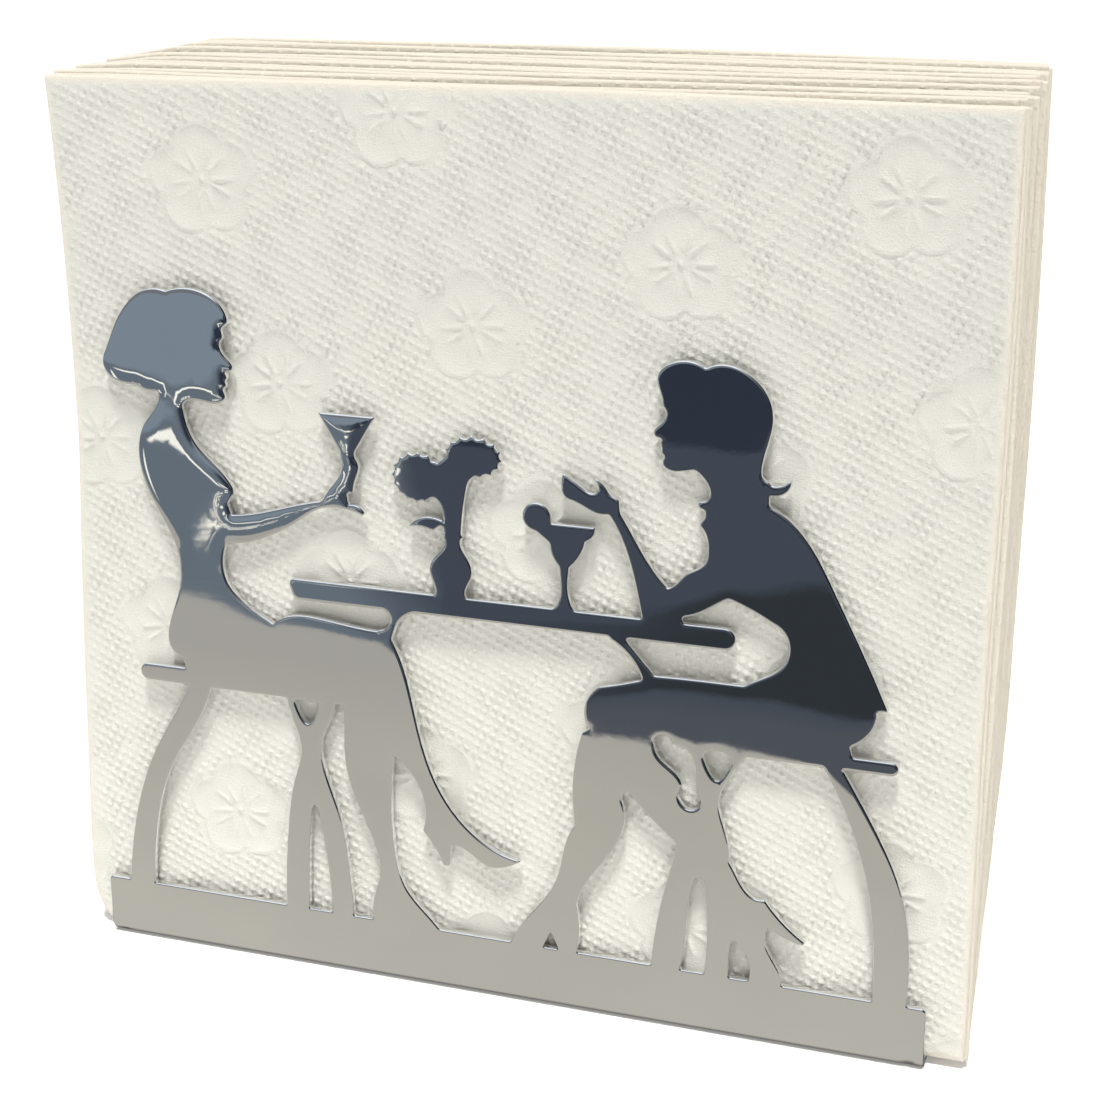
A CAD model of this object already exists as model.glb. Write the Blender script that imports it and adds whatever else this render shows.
"""Looks of the napkin holder: one bent sheet of chromed steel and twenty quarter-folded paper napkins.

Shapes are worked out in millimetres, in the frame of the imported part, and MM turns them into metres.
"""

import math

import bpy
import numpy as np
from mathutils import Matrix, Vector, geometry, kdtree

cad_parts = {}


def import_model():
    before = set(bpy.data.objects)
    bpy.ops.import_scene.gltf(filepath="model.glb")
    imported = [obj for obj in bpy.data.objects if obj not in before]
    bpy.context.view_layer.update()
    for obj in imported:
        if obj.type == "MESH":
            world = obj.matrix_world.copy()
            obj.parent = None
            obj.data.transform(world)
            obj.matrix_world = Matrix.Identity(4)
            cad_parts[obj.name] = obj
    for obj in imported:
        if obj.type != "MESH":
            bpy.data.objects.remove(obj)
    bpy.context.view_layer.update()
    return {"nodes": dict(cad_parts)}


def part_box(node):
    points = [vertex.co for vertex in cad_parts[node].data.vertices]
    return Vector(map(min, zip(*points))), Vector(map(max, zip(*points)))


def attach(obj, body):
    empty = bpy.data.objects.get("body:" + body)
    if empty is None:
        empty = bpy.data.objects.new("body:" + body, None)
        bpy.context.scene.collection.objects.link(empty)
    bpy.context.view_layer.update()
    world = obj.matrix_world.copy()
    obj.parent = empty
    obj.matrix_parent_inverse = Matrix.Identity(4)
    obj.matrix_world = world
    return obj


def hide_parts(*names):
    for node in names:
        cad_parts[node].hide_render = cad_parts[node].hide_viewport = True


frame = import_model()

MM = 0.001

# The camera looks at a point of the front panel's plane, from the front, from its right and above.
CAMERA_TARGET = (11.65, -22.5, 88.3)
CAMERA_AZIMUTH = 19.1
CAMERA_ELEVATION = 19.03
CAMERA_ROLL = -0.29
CAMERA_DISTANCE = 380.7
CAMERA_LENS = 73.03
CAMERA_SENSOR = 36.0

# The steel sheet.
SHEET = 1.5                 # thickness
BEND_INNER_RADIUS = 0.8
EDGE_STEP = 0.36            # spacing of the mesh's points along the cut edges,
OUTER_STEP = 2.8            # on the outer face away from them,
INNER_STEP = 4.5            # and on the face that touches the napkins
EDGE_ROUND = 0.32           # radius of the outer face's rounded edge
INNER_ROUND = 0.25          # the same for the face that touches the napkins
CROWN_WIDE = 3.0            # thick, polished plating: the outer face is crowned this far in from its edges,
CROWN_DEEP = 0.18           # this deep at the left guest's head, chest and arm, that is above
CROWN_FROM = 80.0           # this height,
CROWN_LEAST = 0.02          # and only this deep elsewhere
CROWN_RINGS = [0.6, 1.1, 1.9, CROWN_WIDE]   # the mesh has rings of points at these distances from the edges
WAVE = 0.012                # the sheet isn't perfectly flat

# A napkin: one square sheet of tissue, folded in half twice.
NAPKIN_COUNT = 20
FLAT_SIDE = 330.0
TISSUE_HALF = 0.17          # half of the soft, embossed tissue's thickness
INNER_FOLD = 0.225          # radius of the first fold, along the napkin's top
OUTER_FOLD = 0.45           # radius of the second fold, down its left side
FOLD_EXTRA = 0.57           # the run round half of a fold is longer than its depth by this many radii
MISS = 0.6                  # the second fold is up to this far off the sheet's middle,
MISS_BELOW = 3              # and the first one this many times less
NAPKIN_STEP = 5.0           # spacing of the mesh's points on the plain layers,
FOLD_STEP = 1.3             # and along the folds of the embossed napkins
CREAM_EDGE = 0.9            # the folds and edges look cream as far in as this
SHOWY_CLEAR = 0.8           # the embossing keeps this far from the folds and edges
FRONT_DROP = 2.3            # the first napkin's top stands this much lower than nominal,
FRONT_RISE = 1.1            # less this much at its right end
RAGGED = 0.45               # how unevenly the napkins' tops line up
SOFT_CORNER = 1.6           # the first napkin's top left corner gives way to the left by this much
LAST_FALL = 3.2             # the last napkin's top left corner is rounded: it sinks by this much,
LAST_TUCK = 2.5             # and is tucked in by this much
LEAN = 0.1                  # the pile fans out by this much at the top, from front to back
WARP = 0.05                 # no napkin is quite flat
TUCK = 4.0                  # the lower left corners are tucked in by this much
BULGE = 5.2                 # the pile swells out this far at its lower left,
DRAWN_IN = 4.2              # and is drawn in this far at its lower right

# Tissue colours.
PAPER_SHADE = (0.695, 0.693, 0.635, 1)
PAPER = (0.73, 0.722, 0.658, 1)
PAPER_LOW = (0.93, 0.915, 0.83, 1)      # towards a napkin's lower edge
PAPER_FIBRE = (0.86, 0.85, 0.80, 1)
CREAM_SHADE = (0.865, 0.78, 0.655, 1)   # along the folds and edges
CREAM = (0.89, 0.83, 0.72, 1)

# The embossing, raised towards the reader: flowers on a square lattice, and small dots between them.
FLOWER_PITCH = 38.0
FLOWER_TURN = math.radians(19.8)
FLOWER_CENTRE = (-3.6, 126.5)
FLOWER_CLEAR = 0.9          # no dots nearer to a flower's petals than this
PETALS = 5
PETAL_TURN = math.radians(4)
PETAL_OUT = 5.3             # from the flower's centre to the middle of a petal's round end
PETAL_ROUND = 4.5           # radius of that round end
STROKE_IN, STROKE_OUT = 1.5, 6.0        # two strokes run outward between these, on both sides
STROKE_APART = math.radians(14)         # of each gap between petals, turned this far from it
LINE_HALF = 0.42            # half of the width of a petal's outline,
STROKE_HALF = 0.62          # and of a stroke
DOT_PITCH = 1.67            # the dots stand in square rows this far apart,
DOT_TURN = math.radians(-25)            # turned this far
DOT_RADIUS = 0.72
DOT_HIGH = 0.62
STROKE_HIGH = 0.36
PETAL_HIGH = 0.3
PUCKER = 0.12               # the embossed front also swells and puckers by this much
EMBOSSED_STEP = 0.3         # no two points of the embossing's mesh are nearer than this
LATTICE_REACH = 200.0       # dots and flowers are laid out this far to each side, and cut to the napkin

# Where a reflection card's dark part ends: at y CARD_START on its left, and nearer to the holder, in steps,
# further right. A step is: from x, to x, and how much nearer.
CARD_START = -200.5
CARD_EDGE = [(-159, -90, 18), (-90, -19, 40), (12, 45, 12), (45, 120, 10)]

# Bright spots on the cards: x, y, half of the width and length, and turn, in metres and radians.
GLARES = [
    (-0.236, -0.345, 0.055, 0.0105, 0.0),       # across the left guest's shoulder
    (-0.250, -0.262, 0.005, 0.055, -0.72),      # down the back
    (-0.184, -0.371, 0.016, 0.010, 0.0),        # in the raised glass
    (-0.163, -0.324, 0.007, 0.012, 0.0),        # its stem
    (-0.152, -0.291, 0.007, 0.010, 0.0),        # and the hand that holds it
]
BLOTCHES = (-0.169, -0.262, 0.0125, 0.026, 0.0)         # a spot of the same kind, broken up into blotches

# The cards' colours: the pale part near the holder, the dark part beyond it, and the bright spots on that.
PALE_FAR = (0.43, 0.413, 0.375, 1)
PALE_MIDDLE = (0.50, 0.475, 0.41, 1)
PALE_NEAR = (0.58, 0.55, 0.48, 1)
PALE_WORN = (0.43, 0.415, 0.375, 1)         # in patches
PALE_FOOT = (0.10, 0.09, 0.085, 1)          # a line at the holder's foot
DARK_FAR = (0.031, 0.039, 0.056, 1)
DARK_MIDDLE = (0.061, 0.074, 0.097, 1)
DARK_NEAR = (0.086, 0.096, 0.112, 1)
DARK_CHEST = (0.033, 0.039, 0.045, 1)       # shows in the right guest's chest,
DARK_LEFT = (0.145, 0.178, 0.212, 1)        # on the left of the panel,
DARK_HEAD = (0.222, 0.275, 0.325, 1)        # and in the left guest's head
GLARE_COLOUR = (1.1, 1.08, 0.97, 1)
BLOTCH_COLOUR = (1.2, 1.15, 1.0, 1)

# The floor, and the light: all is nearly white.
FLOOR_HALF = 12000.0
LIGHT_TINT = (1.0, 0.99, 0.97)
AMBIENT = 0.3               # strength of the even light from everywhere
BACKDROP = 3.3              # the backdrop that the camera sees is this much brighter than that light

# Suns: name, azimuth (0 from -Y, 90 from +X), elevation, strength and spread, with angles in degrees.
SUNS = [("key", 14, 72, 3.1, 10), ("fill", 18, 9, 0.3, 40), ("back_fill", 192, 11, 0.9, 50)]

# What mirrors see around the studio, from straight down (-1) to straight up (1): its brightness at heights.
ROOM = [(-0.6, 1.4), (-0.4, 0.2), (0.0, 0.7), (0.4, 0.5), (0.65, 3.6)]
ROOM_TINT = (0.93, 1.0, 1.08)
ROOM_RIGHT = (0.1, 0.5)     # towards +X it turns dark between these,
ROOM_DARK = (0.02, 0.024, 0.03, 1)      # as dark as this


# ---------------------------------------------------------------- helpers

def mesh_object(name, points, faces):
    """A new smooth-shaded object from points in millimetres and a list of faces."""
    mesh = bpy.data.meshes.new(name)
    mesh.from_pydata((np.asarray(points) * MM).tolist(), [], faces)
    mesh.validate()
    mesh.polygons.foreach_set("use_smooth", [True] * len(mesh.polygons))
    mesh.update()
    piece = bpy.data.objects.new(name, mesh)
    bpy.context.scene.collection.objects.link(piece)
    return piece


class Nodes:
    """A node tree that grows by short calls. Each call gives the new node or its output."""

    def __init__(self, tree):
        self.tree = tree

    def put(self, socket, source):
        """Links a socket to another one, or sets its value."""
        if isinstance(source, bpy.types.NodeSocket):
            self.tree.links.new(source, socket)
        else:
            socket.default_value = source

    def node(self, kind, inputs=None, **settings):
        """A new node, with its inputs linked or set and its other settings made."""
        node = self.tree.nodes.new(kind)
        for key, setting in settings.items():
            setattr(node, key, setting)
        for key, source in (inputs or {}).items():
            self.put(node.inputs[key], source)
        return node

    def math(self, operation, *terms):
        node = self.node("ShaderNodeMath", operation=operation)
        for socket, term in zip(node.inputs, terms):
            self.put(socket, term)
        return node.outputs[0]

    def noise(self, vector, scale, detail=2.0, roughness=0.5):
        inputs = {"Vector": vector, "Scale": scale, "Detail": detail, "Roughness": roughness}
        return self.node("ShaderNodeTexNoise", inputs).outputs["Fac"]

    def stretch(self, vector, scale, rotation=(0, 0, 0)):
        """A vector scaled and then turned."""
        inputs = {"Vector": vector, "Scale": scale, "Rotation": rotation}
        return self.node("ShaderNodeMapping", inputs).outputs[0]

    def remap(self, source, low, high, to_low, to_high):
        """The source's stretch from low to high laid over to_low to to_high, and held at its ends."""
        inputs = {"Value": source, "From Min": low, "From Max": high, "To Min": to_low, "To Max": to_high}
        return self.node("ShaderNodeMapRange", inputs).outputs["Result"]

    def mix(self, share, first, second):
        node = self.node("ShaderNodeMix", data_type="RGBA")
        self.put(node.inputs["Factor"], share)
        self.put(node.inputs[6], first)
        self.put(node.inputs[7], second)
        return node.outputs[2]

    def bump(self, height, distance, strength, under=None):
        """A normal from a height, laid over the normal under it."""
        inputs = {"Height": height, "Distance": distance, "Strength": strength}
        if under is not None:
            inputs["Normal"] = under
        return self.node("ShaderNodeBump", inputs).outputs[0]


class Shader(Nodes):
    """A new material and its nodes."""

    def __init__(self, name):
        self.material = bpy.data.materials.new(name)
        self.material.use_nodes = True
        super().__init__(self.material.node_tree)
        self.surface = self.tree.nodes["Principled BSDF"]


# ---------------------------------------------------------------- materials

def chrome_material():
    """Bright chromium plating: a nearly perfect mirror with faint wipe marks and orange peel."""
    s = Shader("chromed_steel_sheet")
    place = s.node("ShaderNodeTexCoord").outputs["Object"]
    smudges = s.noise(place, 38.0, 4.0, 0.6)
    wipes = s.noise(s.stretch(place, (160.0, 160.0, 2400.0), (0.0, 0.5, 0.0)), 1.0, 3.0)
    haze = s.math("MULTIPLY", s.remap(smudges, 0.45, 0.75, 0.0, 1.0), s.remap(wipes, 0.35, 0.7, 0.3, 1.0))
    s.put(s.surface.inputs["Roughness"], s.remap(haze, 0.0, 1.0, 0.025, 0.085))
    tint = s.mix(smudges, (0.80, 0.81, 0.83, 1), (0.86, 0.865, 0.87, 1))
    s.put(s.surface.inputs["Base Color"], tint)
    s.surface.inputs["Metallic"].default_value = 1.0
    peel = s.noise(place, 420.0, 2.0, 0.4)
    s.put(s.surface.inputs["Normal"], s.bump(peel, 0.00002, 0.16))
    return s.material


def flower_height(s, u, v):
    """The raised lines of the nearest flower, from 0 to 1, and the distance beyond its petals."""
    reach = s.math("SQRT", s.math("ADD", s.math("MULTIPLY", u, u), s.math("MULTIPLY", v, v)))
    turn = s.math("SUBTRACT", s.math("ARCTAN2", v, u), PETAL_TURN)
    slice_half = math.pi / PETALS
    off_axis = s.math("WRAP", turn, slice_half, -slice_half)
    across = s.math("MULTIPLY", s.math("SINE", off_axis), PETAL_OUT)
    rest = s.math("SUBTRACT", PETAL_ROUND ** 2, s.math("MULTIPLY", across, across))
    rim = s.math("ADD", s.math("MULTIPLY", s.math("COSINE", off_axis), PETAL_OUT), s.math("SQRT", rest))
    outline = s.remap(s.math("ABSOLUTE", s.math("SUBTRACT", reach, rim)), 0.0, LINE_HALF, 1.0, 0.0)
    from_gap = s.math("SUBTRACT", slice_half, s.math("ABSOLUTE", off_axis))
    beside = s.math("ABSOLUTE", s.math("SUBTRACT", from_gap, STROKE_APART))
    stroke = s.remap(s.math("MULTIPLY", reach, beside), 0.0, STROKE_HALF, 1.0, 0.0)
    middle = (STROKE_IN + STROKE_OUT) / 2
    along = s.math("ABSOLUTE", s.math("SUBTRACT", reach, middle))
    stroke_end = s.remap(along, (STROKE_OUT - STROKE_IN) / 2 - 0.3, (STROKE_OUT - STROKE_IN) / 2, 1.0, 0.0)
    stroke = s.math("MULTIPLY", stroke, stroke_end)
    heart = s.remap(reach, 0.0, DOT_RADIUS, 1.0, 0.0)
    outline = s.math("MULTIPLY", outline, PETAL_HIGH / STROKE_HIGH)
    return s.math("MAXIMUM", s.math("MAXIMUM", outline, stroke), heart), s.math("SUBTRACT", reach, rim)


def tissue_material(name, embossed_in_mesh):
    """Soft white tissue: fibres, crepe lines and, where the mesh hasn't got it, the embossing."""
    s = Shader(name)
    flat = s.node("ShaderNodeAttribute", attribute_name="flat").outputs["Vector"]
    parts = s.node("ShaderNodeSeparateXYZ", {"Vector": flat})
    edge = parts.outputs["Z"]
    plane = s.node("ShaderNodeCombineXYZ", {"X": parts.outputs["X"], "Y": parts.outputs["Y"]}).outputs[0]
    cloud = s.noise(plane, 0.035, 3.0)
    fall = s.math("ABSOLUTE", parts.outputs["Y"])
    fibres = s.noise(plane, 2.6, 5.0, 0.7)
    crepe = s.noise(s.stretch(plane, (0.5, 3.4, 1.0)), 1.0, 3.0, 0.6)
    body = s.mix(s.remap(cloud, 0.3, 0.7, 0.0, 1.0), PAPER_SHADE, PAPER)
    body = s.mix(s.remap(fall, 40.0, 165.0, 0.0, 0.75), body, PAPER_LOW)
    body = s.mix(s.remap(fibres, 0.3, 0.8, 0.0, 0.35), body, PAPER_FIBRE)
    cream = s.mix(s.remap(fibres, 0.35, 0.7, 0.0, 1.0), CREAM_SHADE, CREAM)
    colour = s.mix(s.math("MULTIPLY", edge, 0.8), body, cream)
    s.put(s.surface.inputs["Base Color"], colour)
    s.surface.inputs["Roughness"].default_value = 0.92
    s.surface.inputs["Specular IOR Level"].default_value = 0.25
    s.surface.inputs["Sheen Weight"].default_value = 0.15
    s.surface.inputs["Sheen Roughness"].default_value = 0.6
    normal = s.bump(fibres, 0.0003, 0.8)
    normal = s.bump(crepe, 0.0002, 0.35, normal)
    if not embossed_in_mesh:
        first = (20.0, 40.0, 0.0)
        centre = s.node("ShaderNodeVectorMath", {0: plane, 1: first}, operation="SUBTRACT").outputs[0]
        turned = s.stretch(centre, (1, 1, 1), (0, 0, -FLOWER_TURN))
        half = FLOWER_PITCH / 2
        cell = s.node("ShaderNodeVectorMath", {0: turned, 1: (half, half, 0), 2: (-half, -half, 0)},
                      operation="WRAP").outputs[0]
        cell = s.node("ShaderNodeSeparateXYZ", {"Vector": cell})
        flower, beyond = flower_height(s, cell.outputs["X"], cell.outputs["Y"])
        turns = 2 * math.pi / DOT_PITCH
        rows = s.stretch(plane, (turns, turns, 1), (0, 0, -DOT_TURN))
        rows = s.node("ShaderNodeSeparateXYZ", {"Vector": rows})
        waves = [s.remap(s.math("COSINE", rows.outputs[axis]), -0.2, 1.0, 0.0, 1.0) for axis in ("X", "Y")]
        outside = s.math("GREATER_THAN", beyond, FLOWER_CLEAR)
        dots = s.math("MULTIPLY", s.math("MULTIPLY", *waves), outside)
        raised = s.math("MAXIMUM", s.math("MULTIPLY", dots, DOT_HIGH / STROKE_HIGH), flower)
        raised = s.math("MULTIPLY", raised, s.math("SUBTRACT", 1.0, edge))
        normal = s.bump(raised, DOT_HIGH * MM, 0.5, normal)
    s.put(s.surface.inputs["Normal"], normal)
    return s.material


# ---------------------------------------------------------------- the steel sheet

def panel_loops(node):
    """The outlines (x, z) of the CAD panel's outer face, metal on the left, the outer one first."""
    mesh = node.data
    mesh.calc_loop_triangles()
    place = np.array([v.co for v in mesh.vertices]) / MM
    corners = np.array([t.vertices for t in mesh.loop_triangles])
    outermost = place[:, 1].min()
    corners = corners[(place[corners][:, :, 1] < outermost + 0.01).all(axis=1)]
    spots, same = np.unique(np.round(place[:, [0, 2]], 3), axis=0, return_inverse=True)
    corners = same.reshape(-1)[corners]
    sides = {(a, b) for t in corners.tolist() for a, b in zip(t, t[1:] + t[:1]) if a != b}
    following = {a: b for a, b in sides if (b, a) not in sides}
    loops = []
    while following:
        start, at = following.popitem()
        loop = [start]
        while at != start:
            loop.append(at)
            at = following.pop(at)
        loops.append(spots[loop])
    return sorted(loops, key=lambda loop: -abs(loop_area(loop)))


def loop_area(loop):
    """The area inside a loop, negative where it runs clockwise."""
    ahead = np.roll(loop, -1, axis=0)
    return 0.5 * (loop[:, 0] * ahead[:, 1] - ahead[:, 0] * loop[:, 1]).sum()


def resampled(loop, step):
    """The closed loop with even spacing, its corners very slightly eased."""
    closed = np.vstack([loop, loop[:1]])
    run = np.concatenate([[0], np.cumsum(np.linalg.norm(np.diff(closed, axis=0), axis=1))])
    count = max(8, round(run[-1] / step))
    at = np.arange(count) * run[-1] / count
    even = np.column_stack([np.interp(at, run, closed[:, 0]), np.interp(at, run, closed[:, 1])])
    return (np.roll(even, 1, axis=0) + 6 * even + np.roll(even, -1, axis=0)) / 8


class Outline:
    """The cut edge of the flat blank, as loops of evenly spaced points with the metal on their left."""

    def __init__(self, loops):
        self.points = np.vstack(loops)
        starts = np.cumsum([0] + [len(loop) for loop in loops])
        runs = [np.arange(a, b) for a, b in zip(starts, starts[1:])]
        self.after = np.concatenate([np.roll(run, -1) for run in runs])
        self.before = np.concatenate([np.roll(run, 1) for run in runs])
        along = self.points[self.after] - self.points[self.before]
        along /= np.linalg.norm(along, axis=1)[:, None]
        self.inward = np.column_stack([-along[:, 1], along[:, 0]])
        self.tree = kdtree.KDTree(len(self.points))
        for i, (x, y) in enumerate(self.points):
            self.tree.insert((x, y, 0), i)
        self.tree.balance()

    def distance(self, spots):
        """Distance from each spot to the cut edge, and whether it lies on the metal's side of it."""
        near = np.array([self.tree.find((x, y, 0))[1] for x, y in spots])
        best = np.full(len(spots), np.inf)
        for a, b in ((self.before[near], near), (near, self.after[near])):
            start, side = self.points[a], self.points[b] - self.points[a]
            share = ((spots - start) * side).sum(axis=1) / (side * side).sum(axis=1)
            gap = spots - start - side * np.clip(share, 0, 1)[:, None]
            best = np.minimum(best, np.linalg.norm(gap, axis=1))
        metal = ((spots - self.points[near]) * self.inward[near]).sum(axis=1) > 0
        return best, metal


def thinned(spots, spacing):
    """The spots, without those that crowd an earlier one."""
    taken, kept = {}, []
    for i, (x, y) in enumerate(spots):
        column, row = math.floor(x / spacing), math.floor(y / spacing)
        around = [taken.get((column + a, row + b)) for a in (-1, 0, 1) for b in (-1, 0, 1)]
        if all(o is None or math.dist((x, y), spots[o]) >= spacing for o in around):
            taken[column, row] = i
            kept.append(i)
    return spots[kept]


def triangulated(spots, edge_count, after):
    """Triangles between the spots, inside the loops made by the first edge_count of them."""
    constraints = [(i, int(after[i])) for i in range(edge_count)]
    flat = [Vector((x, y)) for x, y in spots]
    made = geometry.delaunay_2d_cdt(flat, constraints, [], 0, 1e-6)
    source = [names[0] if names else -1 for names in made[3]]
    triangles = [[source[i] for i in face] for face in made[2]]
    triangles = [t for t in triangles if min(t) >= 0]
    owners = {}
    for number, t in enumerate(triangles):
        for a, b in zip(t, t[1:] + t[:1]):
            owners.setdefault((min(a, b), max(a, b)), []).append(number)
    fence = {(min(a, b), max(a, b)) for a, b in constraints}
    seed = int(np.argmin(np.linalg.norm(spots[np.array(triangles)].mean(axis=1), axis=1)))
    inside, front = {seed}, [seed]
    while front:
        t = triangles[front.pop()]
        for a, b in zip(t, t[1:] + t[:1]):
            side = (min(a, b), max(a, b))
            if side in fence:
                continue
            for other in owners[side]:
                if other not in inside:
                    inside.add(other)
                    front.append(other)
    return [triangles[i] for i in sorted(inside)]


def rounded_edge(distance, radius):
    """How far a face falls back at a distance from the cut edge: a quarter circle."""
    to_go = np.clip((radius - distance) / radius, 0, 1)
    return radius * (1 - np.sqrt(1 - to_go ** 2))


def crown(spots, distance, base_end):
    """The slow fall of a crowned face towards its edges, deep only over the guest on the panel's left."""
    side = np.sign(spots[:, 1])
    height = np.abs(spots[:, 1]) - base_end
    left = smooth_step(-side * spots[:, 0], 14, 28) * smooth_step(height, CROWN_FROM - 6, CROWN_FROM)
    deep = CROWN_LEAST + (CROWN_DEEP - CROWN_LEAST) * left
    return deep * np.clip(1 - distance / CROWN_WIDE, 0, 1) ** 2


def smooth_step(values, start, end):
    """0 before start and 1 after end, with a smooth rise between."""
    share = np.clip((values - start) / (end - start), 0, 1)
    return share * share * (3 - 2 * share)


def holder_sheet():
    """The holder as it is made: a flat blank with two cut-out panels, bent up on both sides of the base."""
    low, high = (np.array(corner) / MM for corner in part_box("holder"))
    loops = panel_loops(frame["nodes"]["holder"])
    outer_radius = SHEET + BEND_INNER_RADIUS
    base_half = high[1] - outer_radius
    bend_run = math.pi / 2 * (BEND_INNER_RADIUS + SHEET / 2)
    panel_start = base_half + bend_run

    def unrolled(loop):
        return np.column_stack([loop[:, 0], loop[:, 1] - outer_radius + panel_start])

    outer = unrolled(loops[0])
    corner = int(np.argmin(np.abs(outer - (high[0], panel_start)).sum(axis=1)))
    outer = np.roll(outer, -corner, axis=0)
    last = int(np.argmin(np.abs(outer - (low[0], panel_start)).sum(axis=1)))
    outer = outer[:last + 1]
    holes = [unrolled(loop) for loop in loops[1:]]
    blank = [np.vstack([outer, -outer])] + holes + [-hole for hole in holes]
    cut = Outline([resampled(loop, EDGE_STEP) for loop in blank])
    edge_count = len(cut.points)

    def bent(spots, depth):
        """The place of points of the blank, depth under its outer face, after bending."""
        x, run = spots[:, 0], spots[:, 1]
        side = np.sign(run)
        turn = np.clip((np.abs(run) - base_half) / bend_run, 0, 1) * math.pi / 2
        radius = outer_radius - depth
        y = np.minimum(np.abs(run), base_half) + radius * np.sin(turn)
        z = outer_radius - radius * np.cos(turn) + np.maximum(np.abs(run) - panel_start, 0)
        return np.column_stack([x, -side * y, z])

    def face_spots(rings, spacing):
        """Spots of one face: rings beside the cut edge, rows around the bends, and a loose grid."""
        found = []
        for distance in rings:
            ring = cut.points + cut.inward * distance
            true, _ = cut.distance(ring)
            apart = max(EDGE_STEP * 0.6, min(distance * 0.6, 0.9))
            found.append(thinned(ring[true > distance - 0.02], apart))
        widest = rings[-1]
        across = np.arange(low[0] + 2, high[0] - 1, 2.0)
        bends = base_half + bend_run * np.linspace(0, 1, 11)
        rows = [np.column_stack([across, np.full(len(across), s * b)]) for b in bends for s in (-1, 1)]
        top = panel_start + high[2] - outer_radius
        grid = [(x + (row % 2) * spacing / 2, y)
                for row, y in enumerate(np.arange(-top, top, spacing * 0.87))
                for x in np.arange(low[0], high[0], spacing)]
        grid = np.array([spot for spot in grid if not base_half - 1 < abs(spot[1]) < panel_start + 1])
        for spots in (np.vstack(rows), grid):
            true, metal = cut.distance(spots)
            found.append(spots[(true > widest + 0.3) & metal])
        return np.vstack([cut.points] + found)

    bevel = EDGE_ROUND * (1 - np.cos(np.radians([30, 60, 90])))
    outer_spots = face_spots([*bevel, *CROWN_RINGS], OUTER_STEP)
    inner_spots = face_spots([INNER_ROUND * 0.3, INNER_ROUND], INNER_STEP)
    points, faces = [], []
    offset = 0
    for spots, outside in ((outer_spots, True), (inner_spots, False)):
        distance, _ = cut.distance(spots)
        distance[:edge_count] = 0
        if outside:
            depth = rounded_edge(distance, EDGE_ROUND) + crown(spots, distance, panel_start)
            depth += WAVE * (1 + np.sin(spots[:, 0] / 9 + 1.0) * np.sin(spots[:, 1] / 7))
        else:
            depth = SHEET - rounded_edge(distance, INNER_ROUND)
        points.append(bent(spots, depth))
        for t in triangulated(spots, edge_count, cut.after):
            faces.append([i + offset for i in (t if outside else t[::-1])])
        if not outside:
            for i in range(edge_count):
                j = int(cut.after[i])
                faces.append([j, i, i + offset, j + offset])
        offset += len(spots)
    piece = mesh_object("holder_sheet", np.vstack(points), faces)
    piece.data.materials.append(chrome_material())
    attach(piece, "holder")
    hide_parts("holder")
    return piece


# ---------------------------------------------------------------- the napkins

def fold(run, radius):
    """A fold seen end on, at a run from its line: distance from the crest, offset across it, and slope."""
    angle = np.clip(run / radius, -math.pi / 2, math.pi / 2)
    along = radius * (1 - np.cos(angle)) + np.maximum(np.abs(run) - math.pi / 2 * radius, 0)
    return along, radius * np.sin(angle), angle


def grid_lines(start, end, crest, spacing):
    """Coordinates along one side of the flat sheet: close together on the fold and near both ends."""
    tight = crest * np.radians([-150, -90, -67, -45, -22, 0, 22, 45, 67, 90, 150])
    arms = []
    for a, b in ((start, tight[0]), (tight[-1], end)):
        count = max(4, round((b - a) / spacing))
        arms.append(np.linspace(a, b, count + 1))
    lines = np.concatenate([arms[0][:-1], tight, arms[1][1:]])
    ends = [start + 0.4, end - 0.4]
    return np.unique(np.round(np.concatenate([lines, ends]), 5))


def flower_frame(x, z):
    """Places on a napkin's front, in the frame of their nearest flower."""
    c, s = math.cos(FLOWER_TURN), math.sin(FLOWER_TURN)
    across, up = x - FLOWER_CENTRE[0], z - FLOWER_CENTRE[1]
    u, v = c * across + s * up, c * up - s * across
    return u - FLOWER_PITCH * np.round(u / FLOWER_PITCH), v - FLOWER_PITCH * np.round(v / FLOWER_PITCH)


def off_petal(angle):
    """The angle from the nearest petal's axis."""
    slice_half = math.pi / PETALS
    return (angle + slice_half) % (2 * slice_half) - slice_half


def petal_rim(off_axis):
    """Distance from a flower's centre to its petals' outline, at an angle from a petal's axis."""
    return PETAL_OUT * np.cos(off_axis) + np.sqrt(PETAL_ROUND ** 2 - (PETAL_OUT * np.sin(off_axis)) ** 2)


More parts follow.
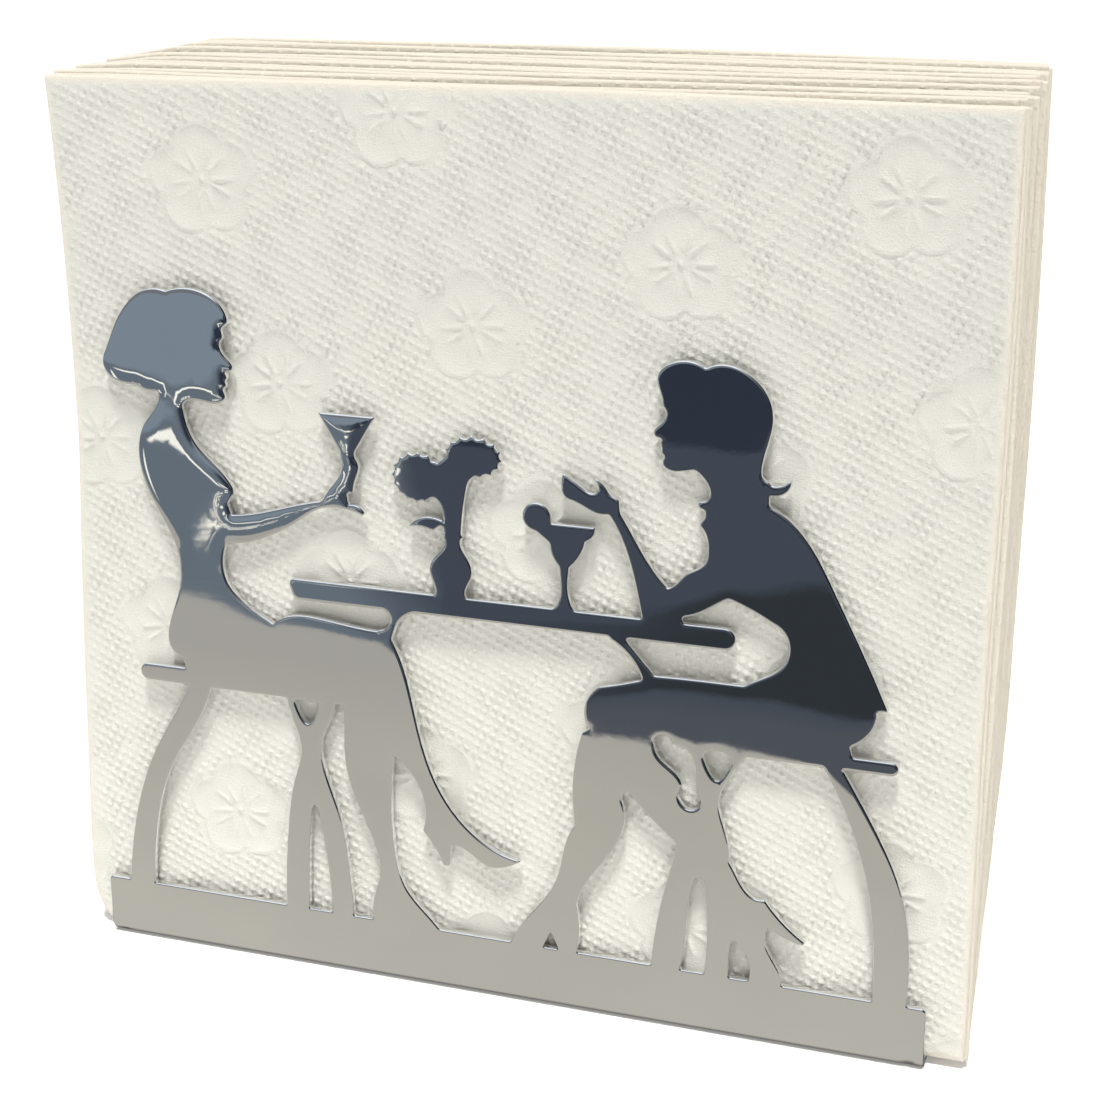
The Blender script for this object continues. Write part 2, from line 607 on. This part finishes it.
def embossed_height(x, z):
    """Height of the embossing at places on the napkin's front."""
    u, v = flower_frame(x, z)
    reach = np.hypot(u, v)
    off_axis = off_petal(np.arctan2(v, u) - PETAL_TURN)
    outline = soft(np.abs(reach - petal_rim(off_axis)) / LINE_HALF)
    beside = np.abs(math.pi / PETALS - np.abs(off_axis) - STROKE_APART)
    past = np.abs(reach - (STROKE_IN + STROKE_OUT) / 2) - (STROKE_OUT - STROKE_IN) / 2
    stroke = soft(np.hypot(reach * beside, np.maximum(past + STROKE_HALF, 0)) / STROKE_HALF)
    heart = soft(reach / DOT_RADIUS)
    c, s = math.cos(DOT_TURN), math.sin(DOT_TURN)
    a = (c * x + s * z) / DOT_PITCH
    b = (-s * x + c * z) / DOT_PITCH
    off = np.hypot(a - np.round(a), b - np.round(b)) * DOT_PITCH
    dots = soft(off / DOT_RADIUS) * (reach - petal_rim(off_axis) > FLOWER_CLEAR)
    uneven = np.sin(x * 0.61 + 2.2 * np.sin(z * 0.23)) * np.sin(z * 0.47 + 1.7 * np.sin(x * 0.19))
    high = [PETAL_HIGH * outline, STROKE_HIGH * stroke, DOT_HIGH * heart, DOT_HIGH * dots]
    return np.max(high, axis=0) * (0.72 + 0.28 * uneven)


def pucker(x, z):
    """The soft swelling between the raised lines, in both directions, from -1 to 1."""
    broad = np.sin(x / 5.1 + 1.9 * np.sin(z / 11.0)) * np.sin(z / 4.3 + 1.6 * np.sin(x / 9.0))
    fine = np.sin(x / 2.1 + z / 3.3 + 2.0 * np.sin(x / 7.0)) * np.sin(z / 1.9 - x / 3.7)
    return 0.7 * broad + 0.3 * fine


def soft(share):
    """1 at 0, falling smoothly to 0 at 1."""
    return np.cos(np.clip(share, 0, 1) * math.pi / 2) ** 2


def embossed_spots(low, high):
    """Places (x, z) on a napkin's front that carry the embossing: points in and around each dot and line."""
    c, s = math.cos(DOT_TURN), math.sin(DOT_TURN)
    rows = range(-int(LATTICE_REACH / DOT_PITCH), int(LATTICE_REACH / DOT_PITCH))
    a, b = (g.ravel() * DOT_PITCH for g in np.meshgrid(rows, rows))
    ring = [DOT_RADIUS / 2 * np.array([math.cos(t), math.sin(t)]) for t in np.arange(6) * math.pi / 3]
    between = [(DOT_PITCH / 2, 0), (0, DOT_PITCH / 2), (DOT_PITCH / 2, DOT_PITCH / 2)]
    found = np.vstack([np.column_stack([c * (a + i) - s * (b + j), s * (a + i) + c * (b + j)])
                       for i, j in [(0, 0), *ring, *between]])
    u, v = flower_frame(*found.T)
    rim = petal_rim(off_petal(np.arctan2(v, u) - PETAL_TURN))
    found = [found[np.hypot(u, v) - rim > FLOWER_CLEAR - 0.1]]
    flower = [(0.0, 0.0)]
    for r, count in ((DOT_RADIUS * 0.5, 6), (DOT_RADIUS, 8), (STROKE_IN, 12)):
        flower += [(r * math.cos(t), r * math.sin(t)) for t in np.arange(count) * 2 * math.pi / count]
    for t in np.linspace(0, 2 * math.pi, 80, endpoint=False):
        turn = t + PETAL_TURN
        for r in petal_rim(off_petal(t)) + np.array([-LINE_HALF, 0, LINE_HALF]):
            flower.append((r * math.cos(turn), r * math.sin(turn)))
    for petal in range(PETALS):
        for side in (-1, 1):
            turn = PETAL_TURN + (2 * petal + 1) * math.pi / PETALS + side * STROKE_APART
            for r in np.linspace(STROKE_IN, STROKE_OUT, 6):
                for shift in (-STROKE_HALF, -STROKE_HALF / 2, 0, STROKE_HALF / 2, STROKE_HALF):
                    flower.append((r * math.cos(turn) - shift * math.sin(turn),
                                   r * math.sin(turn) + shift * math.cos(turn)))
    beyond = STROKE_OUT + 0.4
    flower += [(beyond * math.cos(t), beyond * math.sin(t)) for t in np.arange(20) * math.pi / 10]
    flower = np.array(flower)
    c, s = math.cos(FLOWER_TURN), math.sin(FLOWER_TURN)
    flower = np.column_stack([c * flower[:, 0] - s * flower[:, 1], s * flower[:, 0] + c * flower[:, 1]])
    cells = round(LATTICE_REACH / FLOWER_PITCH) + 1
    for i in range(-cells, cells + 1):
        for j in range(-cells, cells + 1):
            step = np.array([c * i - s * j, s * i + c * j])
            found.append(flower + FLOWER_CENTRE + FLOWER_PITCH * step)
    found = np.vstack(found)
    keep = ((found > np.array(low)) & (found < np.array(high))).all(axis=1)
    return thinned(found[keep], EMBOSSED_STEP)


def relaxed(x, y, z, number):
    """The pile as it really stands: lower at the front, soft at the corners, drawn in where it overhangs.

    Nothing moves up or down in the lowest 60 mm, so no napkin sinks into the base.
    """
    low, high = (np.array(corner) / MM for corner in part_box(f"napkin_{number:02d}"))
    back = (number - 1) / (NAPKIN_COUNT - 1)
    slow = number * 1.7
    upper = np.clip((z - 60) / (high[2] - 60), 0, 1) ** 1.5
    lower = np.clip((60 - z) / 60, 0, 1) ** 2
    rightward = np.clip((x - low[0]) / (high[0] - low[0]), 0, 1)
    top_left = np.exp(-((x - low[0]) / 22) ** 2) * upper ** 2
    foot = np.exp(-(z - low[2]) / 3.5)
    bulge = np.clip(1 - z / 100, 0, 1) * np.exp(-(x - low[0]) / 60)
    lift = (1 - back) * (FRONT_RISE * rightward - FRONT_DROP) + back ** 0.4 + RAGGED * np.sin(number * 2.1)
    new_z = z + upper * (lift + 0.3 * np.sin(x / 31 + slow))
    new_z -= back * LAST_FALL * np.exp(-((x - low[0]) / 8) ** 2) * upper
    new_x = x + 0.25 * np.sin(z / 23 + slow) - SOFT_CORNER * (1 - back) * top_left
    new_x += back * LAST_TUCK * np.exp(-((x - low[0]) / 10) ** 2) * upper ** 8
    new_x += (1.7 - 2.1 * back) * rightward ** 2
    new_x -= DRAWN_IN * back ** 0.6 * rightward ** 2 * lower
    new_x += TUCK * foot * np.exp(-(x - low[0]) / 12) - BULGE * (1 - 0.5 * back) * bulge
    new_y = y + (back - 0.5) * LEAN * upper
    new_y += WARP * np.sin(x / 12 + slow) + WARP * np.sin(z / 17 + 0.6 * number)
    return new_x, new_y, new_z


def napkin(number):
    """One quarter-folded napkin: its first fold is along the top, and its second down the left.

    The flat sheet's points are (p, q). It is folded first where q is 0, and then where p is 0.
    """
    node = f"napkin_{number:02d}"
    low, high = (np.array(corner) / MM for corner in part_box(node))
    middle = (low[1] + high[1]) / 2
    showy = number in (1, NAPKIN_COUNT)
    side = -1 if number == NAPKIN_COUNT else 1
    miss = MISS * math.sin(number * 2.7)
    hang = miss / MISS_BELOW
    left = low[0] + INNER_FOLD + TISSUE_HALF
    top = high[2] - TISSUE_HALF
    half = FLAT_SIDE / 2
    across = grid_lines(-half + miss, half + miss, OUTER_FOLD, NAPKIN_STEP)
    down = grid_lines(-half - hang, half - hang, INNER_FOLD, NAPKIN_STEP)

    def place(p, q, out):
        """The place of a point (p, q) of the flat sheet, out from its middle surface."""
        fall, lift, slope = fold(q, INNER_FOLD)
        fall = fall - out * np.cos(slope)
        lift = lift + out * np.sin(slope)
        reach, depth, turn = fold(p, OUTER_FOLD)
        reach = reach - lift * np.cos(turn)
        depth = depth + lift * np.sin(turn)
        return np.column_stack(relaxed(left + reach, middle + depth, top - fall, number))

    p, q = (g.ravel() for g in np.meshgrid(across, down, indexing="ij"))
    rows, columns = len(across), len(down)
    back = place(p, q, -TISSUE_HALF)
    index = np.arange(rows * columns).reshape(rows, columns)
    quads = np.stack([index[:-1, :-1], index[1:, :-1], index[1:, 1:], index[:-1, 1:]], axis=-1).reshape(-1, 4)
    rim = np.concatenate([index[:, 0], index[-1, 1:], index[-2::-1, -1], index[0, -2:0:-1]])
    if showy:
        # The embossed front of this sheet is its quarter with side * p below 0 and q above 0.
        clear = SHOWY_CLEAR
        right_edge, bottom_edge = left + half - side * miss, top - half + hang
        spots = embossed_spots((left + clear, bottom_edge + clear), (right_edge - clear, top - clear))
        dense = np.column_stack([-side * (spots[:, 0] - left + FOLD_EXTRA * OUTER_FOLD),
                                 top - spots[:, 1] + FOLD_EXTRA * INNER_FOLD])
        coarse = np.column_stack([p, q])
        quarter = (side * p < -clear) & (q > clear)
        on_rim = np.zeros(len(p), bool)
        on_rim[rim] = True
        keep = ~quarter | on_rim
        crest = np.radians([-90, -67, -45, -22, 0, 22, 45, 67, 90])
        along = np.arange(clear, half - clear, FOLD_STEP)
        top_fold = [(-side * a, INNER_FOLD * c) for a in along for c in crest]
        side_fold = [(OUTER_FOLD * c, a) for a in along for c in crest]
        extra = np.array(top_fold + side_fold)
        folds = len(extra)
        flat = np.vstack([coarse[keep], extra, dense])
        made = geometry.delaunay_2d_cdt([Vector((a, b)) for a, b in flat], [], [], 0, 1e-6)
        assert len(made[0]) == len(flat)
        order = np.array([names[0] for names in made[3]])
        tops = [[int(order[i]) for i in face] for face in made[2]]
        relief = np.zeros(len(flat))
        inset = np.min([spots[:, 0] - left, right_edge - spots[:, 0], top - spots[:, 1],
                        spots[:, 1] - bottom_edge], axis=0)
        swell = PUCKER * pucker(*spots.T) * smooth_step(inset, 0.5, 6)
        relief[keep.sum() + folds:] = embossed_height(*spots.T) * smooth_step(inset, 0.3, 2) + swell
        front = place(flat[:, 0], flat[:, 1], TISSUE_HALF + relief)
        rim_front = (np.cumsum(keep) - 1)[rim]
    else:
        flat = np.column_stack([p, q])
        front = place(p, q, np.full(len(p), TISSUE_HALF))
        tops = quads.tolist()
        rim_front = rim
    shift = len(front)
    faces = tops + [[int(i) + shift for i in quad[::-1]] for quad in quads]
    for a, b in zip(range(len(rim)), np.roll(np.arange(len(rim)), -1)):
        faces.append([int(rim_front[b]), int(rim_front[a]), int(rim[a]) + shift, int(rim[b]) + shift])
    piece = mesh_object(f"{node}_sheet", np.vstack([front, back]), faces)
    flat = np.vstack([flat, np.column_stack([p, q])])
    to_edge = np.min([np.abs(flat[:, 0]), np.abs(flat[:, 1]), half - np.abs(flat[:, 0] - miss),
                      half - np.abs(flat[:, 1] + hang)], axis=0)
    edge = np.exp(-(np.maximum(to_edge, 0) / CREAM_EDGE) ** 2)
    attribute = piece.data.attributes.new("flat", "FLOAT_VECTOR", "POINT")
    attribute.data.foreach_set("vector", np.column_stack([flat, edge]).astype(np.float32).ravel())
    piece.data.materials.append(TISSUE_EMBOSSED if showy else TISSUE)
    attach(piece, node)
    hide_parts(node)
    return piece


# ---------------------------------------------------------------- the studio

def camera():
    """The camera, turned and tilted about its target."""
    turn, tilt, roll = (math.radians(a) for a in (CAMERA_AZIMUTH, CAMERA_ELEVATION, CAMERA_ROLL))
    ahead = Vector((-math.sin(turn) * math.cos(tilt), math.cos(turn) * math.cos(tilt), -math.sin(tilt)))
    right = Vector((math.cos(turn), math.sin(turn), 0))
    up = right.cross(ahead)
    right, up = right * math.cos(roll) + up * math.sin(roll), up * math.cos(roll) - right * math.sin(roll)
    data = bpy.data.cameras.new("camera")
    data.lens = CAMERA_LENS
    data.sensor_width = CAMERA_SENSOR
    data.clip_start = 0.01
    data.clip_end = 100.0
    seat = bpy.data.objects.new("camera", data)
    place = (Vector(CAMERA_TARGET) - ahead * CAMERA_DISTANCE) * MM
    seat.matrix_world = Matrix.Translation(place) @ Matrix((right, up, -ahead)).transposed().to_4x4()
    bpy.context.scene.collection.objects.link(seat)
    bpy.context.scene.camera = seat


def soft_sun(name, azimuth, elevation, strength, spread):
    """A wide, even light from far away, which mirrors don't see."""
    data = bpy.data.lights.new(name, "SUN")
    data.energy = strength
    data.angle = math.radians(spread)
    data.color = LIGHT_TINT
    lamp = bpy.data.objects.new(name, data)
    turn, tilt = math.radians(azimuth), math.radians(elevation)
    source = Vector((math.sin(turn) * math.cos(tilt), -math.cos(turn) * math.cos(tilt), math.sin(tilt)))
    lamp.rotation_euler = source.to_track_quat("Z", "Y").to_euler()
    lamp.visible_glossy = False
    bpy.context.scene.collection.objects.link(lamp)


def floor():
    """A plain pale floor, out to the horizon."""
    s = Shader("pale_floor")
    place = s.node("ShaderNodeTexCoord").outputs["Object"]
    tint = s.mix(s.noise(place, 3.0), (0.93, 0.93, 0.925, 1), (0.95, 0.95, 0.945, 1))
    s.put(s.surface.inputs["Base Color"], tint)
    s.surface.inputs["Roughness"].default_value = 0.9
    s.surface.inputs["Specular IOR Level"].default_value = 0.1
    s.surface.inputs["Emission Color"].default_value = (1.0, 1.0, 1.0, 1)
    s.surface.inputs["Emission Strength"].default_value = 0.14
    corners = [(x * FLOOR_HALF, y * FLOOR_HALF, 0) for x, y in ((-1, -1), (1, -1), (1, 1), (-1, 1))]
    piece = mesh_object("floor", corners, [[0, 1, 2, 3]])
    piece.data.materials.append(s.material)
    piece.visible_glossy = False


def glare(s, place, x, y, half_width, half_length, turn):
    """1 inside a soft-edged oval on a reflection card, and 0 outside it."""
    inputs = {"Vector": place, "Location": (x, y, 0.0), "Rotation": (0.0, 0.0, turn),
              "Scale": (half_width, half_length, 1.0)}
    inside = s.node("ShaderNodeMapping", inputs, vector_type="TEXTURE").outputs[0]
    reach = s.node("ShaderNodeVectorMath", {0: inside}, operation="LENGTH").outputs["Value"]
    return s.remap(reach, 0.7, 1.2, 1.0, 0.0)


def reflection_card(name, turn):
    """A card on the floor before a panel, for mirrors only: pale near the holder, dark blue-grey beyond."""
    s = Shader(name)
    place = s.node("ShaderNodeTexCoord").outputs["Object"]
    parts = s.node("ShaderNodeSeparateXYZ", {"Vector": place})
    x, y = parts.outputs["X"], parts.outputs["Y"]
    horizon = CARD_START * MM
    for start, end, rise in CARD_EDGE:
        horizon = s.math("ADD", horizon, s.remap(x, start * MM, end * MM, 0.0, rise * MM))
    dark = s.remap(s.math("SUBTRACT", horizon, y), -0.001, 0.002, 0.0, 1.0)
    wobble = s.remap(s.noise(place, 9.0, 2.0), 0.0, 1.0, -0.03, 0.03)
    run = s.math("ADD", y, wobble)
    navy = s.mix(s.remap(run, -0.378, -0.370, 0.0, 1.0), DARK_FAR, DARK_MIDDLE)
    chest = s.math("ADD", s.math("MULTIPLY", x, 0.87), y)
    chest = s.math("MULTIPLY", s.remap(chest, -0.26, -0.245, 0.0, 1.0), s.remap(run, -0.18, -0.175, 1.0, 0.0))
    chest = s.math("MULTIPLY", chest, s.remap(x, -0.06, -0.01, 0.2, 1.0))
    navy = s.mix(chest, navy, DARK_CHEST)
    navy = s.mix(s.remap(run, -0.18, -0.165, 0.0, 1.0), navy, DARK_NEAR)
    leftward = s.math("SUBTRACT", s.math("MULTIPLY", y, 0.5), s.math("SUBTRACT", x, 0.107))
    navy = s.mix(s.remap(leftward, 0.085, 0.115, 0.0, 1.0), navy, DARK_LEFT)
    head = s.math("MULTIPLY", s.remap(x, -0.25, -0.22, 1.0, 0.0), s.remap(y, -0.40, -0.37, 1.0, 0.0))
    navy = s.mix(head, navy, DARK_HEAD)
    for spot in GLARES:
        navy = s.mix(glare(s, place, *spot), navy, GLARE_COLOUR)
    blotches = s.remap(s.noise(place, 150.0, 2.0), 0.50, 0.55, 0.0, 1.0)
    blotches = s.math("MULTIPLY", blotches, glare(s, place, *BLOTCHES))
    navy = s.mix(blotches, navy, BLOTCH_COLOUR)
    worn = s.remap(s.noise(place, 14.0, 3.0), 0.35, 0.65, 0.0, 1.0)
    pale = s.mix(s.remap(y, -0.165, -0.115, 0.0, 1.0), PALE_FAR, PALE_MIDDLE)
    pale = s.mix(s.remap(y, -0.10, -0.03, 0.0, 1.0), pale, PALE_NEAR)
    pale = s.mix(s.math("MULTIPLY", worn, 0.35), pale, PALE_WORN)
    pale = s.mix(s.remap(y, -0.0225, -0.0212, 0.0, 1.0), pale, PALE_FOOT)
    colour = s.mix(dark, pale, navy)
    glow = s.node("ShaderNodeEmission", {"Color": colour, "Strength": 1.0})
    s.tree.links.new(glow.outputs[0], s.tree.nodes["Material Output"].inputs["Surface"])
    corners = [(-1500, -1600, 0.03), (1500, -1600, 0.03), (1500, -20.5, 0.03), (-1500, -20.5, 0.03)]
    piece = mesh_object(name, corners, [[0, 1, 2, 3]])
    piece.rotation_euler = (0, 0, turn)
    piece.visible_camera = False
    piece.visible_diffuse = False
    piece.visible_shadow = False
    piece.visible_transmission = False
    piece.data.materials.append(s.material)


def world():
    """Even white light and a white backdrop. Mirrors see a dim room, darker on the right."""
    scene_world = bpy.data.worlds.new("studio")
    scene_world.use_nodes = True
    s = Nodes(scene_world.node_tree)
    direction = s.node("ShaderNodeTexCoord").outputs["Generated"]
    split = s.node("ShaderNodeSeparateXYZ", {"Vector": direction})
    ramp = s.node("ShaderNodeValToRGB", {0: s.remap(split.outputs["Z"], -1.0, 1.0, 0.0, 1.0)})
    while len(ramp.color_ramp.elements) < len(ROOM):
        ramp.color_ramp.elements.new(0.5)
    for element, (at, grey) in zip(ramp.color_ramp.elements, ROOM):
        element.position = (at + 1) / 2
        element.color = (*(grey * share for share in ROOM_TINT), 1)
    room = s.mix(s.remap(split.outputs["X"], *ROOM_RIGHT, 0.0, 1.0), ramp.outputs[0], ROOM_DARK)
    path = s.node("ShaderNodeLightPath")
    light = s.mix(path.outputs["Is Glossy Ray"], (*LIGHT_TINT, 1), room)
    light = s.mix(path.outputs["Is Camera Ray"], light, (BACKDROP, BACKDROP, BACKDROP, 1))
    background = s.tree.nodes["Background"]
    s.put(background.inputs["Color"], light)
    background.inputs["Strength"].default_value = AMBIENT
    bpy.context.scene.world = scene_world


def studio():
    """The floor, the lights and what mirrors see."""
    bpy.context.scene.view_settings.view_transform = "Standard"
    floor()
    reflection_card("front_reflection", 0)
    reflection_card("rear_reflection", math.pi)
    world()
    for sun in SUNS:
        soft_sun(*sun)


TISSUE = tissue_material("napkin_tissue", False)
TISSUE_EMBOSSED = tissue_material("napkin_tissue_embossed", True)

holder_sheet()
for number in range(1, NAPKIN_COUNT + 1):
    napkin(number)
camera()
studio()
